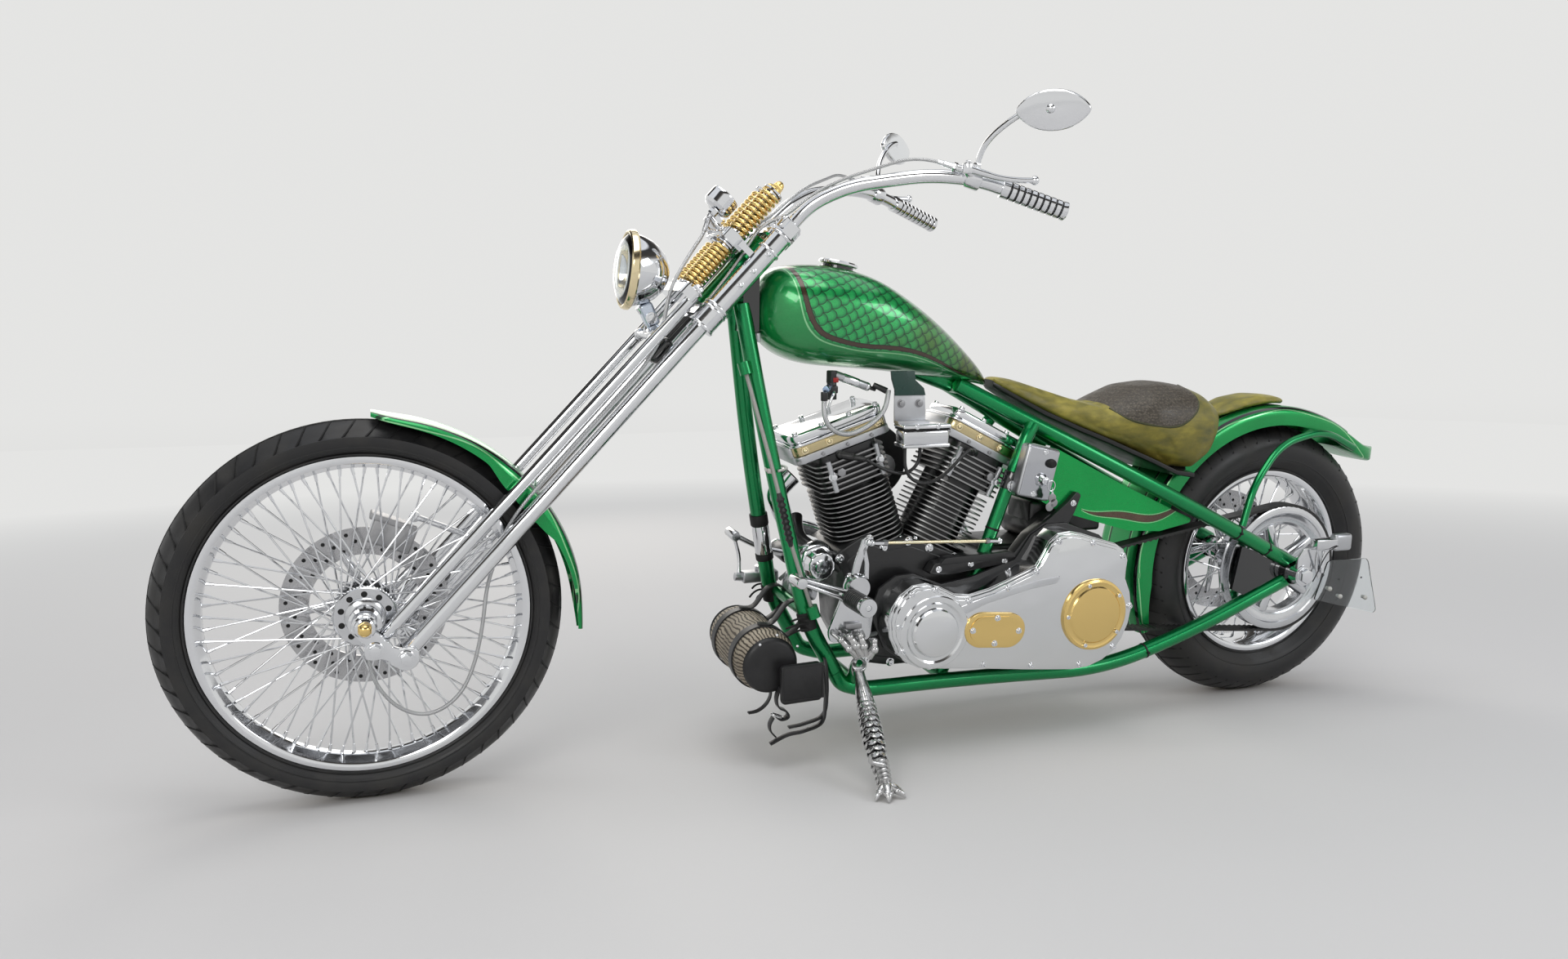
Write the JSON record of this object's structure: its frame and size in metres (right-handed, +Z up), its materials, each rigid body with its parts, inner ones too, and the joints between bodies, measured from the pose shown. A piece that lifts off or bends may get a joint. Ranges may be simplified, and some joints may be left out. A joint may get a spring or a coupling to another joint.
{
  "type": "chopper motorcycle",
  "caption": "Long-fork chopper motorcycle with a springer front end, V-twin engine, teardrop tank and low seat, leaning on its side stand.",
  "frame": {"origin": "on the ground under the middle of the parked motorcycle's bounding box", "axes": "+X forward along the wheelbase, +Y to the rider's left, +Z up; the motorcycle leans 5 degrees to +Y on its stand"},
  "size_m": [2.6229, 0.7377, 1.3044],
  "materials": {
    "frame_green": "gloss dark green paint",
    "candy_green": "candy green paint",
    "black_plate": "gloss black",
    "black_engine": "black enamel on cast aluminium",
    "chrome": "polished",
    "brass": "polished",
    "satin_aluminium": "satin",
    "seat_leather": "mottled olive",
    "roll_leather": "grey-beige",
    "belt_rubber": "matt",
    "cable_braid": "clear-coated steel braid",
    "cable_rubber": "matt",
    "tyre": "rubber",
    "clear": "clear"
  },
  "bodies": {
    "frame": {"frame_backbone": "frame_green", "frame_downtubes": "frame_green", "frame_cradle": "frame_green", "frame_seat_rails": "frame_green", "axle_plates": "black_plate", "fuel_tank": "candy_green", "fuel_cap": "chrome", "seat": "seat_leather", "pillion_pad": "seat_leather", "rear_fender": "candy_green", "fender_stays": "frame_green", "oil_tank": "frame_green", "ignition_box": "chrome", "crankcase": "black_engine", "cylinders": "black_engine", "rocker_boxes": "chrome", "primary_cover": "chrome", "brass_covers": "brass", "gearbox": "black_engine", "drive_belt": "belt_rubber", "air_cleaner": "chrome", "exhaust_pipes": "chrome", "oil_filter": "chrome", "coil_cover": "chrome", "foot_controls": "satin_aluminium", "tool_roll": "roll_leather", "plate_bracket": "satin_aluminium", "clear_plate": "clear", "rear_axle": "chrome", "rear_caliper": "satin_aluminium", "neck_cover": "frame_green", "fuel_hose": "cable_rubber", "front_plug_wire": "cable_rubber", "rear_plug_wire": "cable_rubber", "clutch_cable": "cable_rubber"},
    "fork": {"fork_legs": "chrome", "fork_spring_legs": "chrome", "fork_springs": "brass", "fork_rockers": "chrome", "handlebar": "chrome", "hand_grips": "chrome", "hand_levers": "chrome", "mirrors": "chrome", "headlamp": "chrome", "headlamp_lens": "clear", "speedometer": "chrome", "front_fender": "candy_green", "front_caliper": "satin_aluminium", "speedo_cable": "cable_braid", "clutch_bar_cable": "cable_braid", "brake_bar_cable": "cable_braid"},
    "front_wheel": {"front_tyre": "tyre", "front_rim": "chrome", "front_spokes": "chrome", "front_hub": "chrome"},
    "rear_wheel": {"rear_tyre": "tyre", "rear_rim": "chrome", "rear_spokes": "chrome", "rear_hub": "chrome"},
    "side_stand": {"side_stand": "chrome"}
  },
  "joints": [
    {"name": "steering", "type": "hinge", "parent": "frame", "child": "fork", "pos_m": [0.2925, -0.0272, 0.93171], "axis": [-0.682, 0.0637, 0.7286], "range_deg": [-25, 25]},
    {"name": "front_wheel_spin", "type": "hinge", "parent": "fork", "child": "front_wheel", "pos_m": [0.9635, -0.07836, 0.34694], "axis": [0, 0.9962, -0.0872], "continuous": true},
    {"name": "rear_wheel_spin", "type": "hinge", "parent": "frame", "child": "rear_wheel", "pos_m": [-0.9915, -0.0808, 0.31905], "axis": [0, 0.9962, -0.0872], "continuous": true},
    {"name": "side_stand_fold", "type": "hinge", "parent": "frame", "child": "side_stand", "pos_m": [0.0665, 0.0606, 0.19123], "axis": [0.0337, 0.7066, 0.7069], "range_deg": [0, 67.4]}
  ]
}
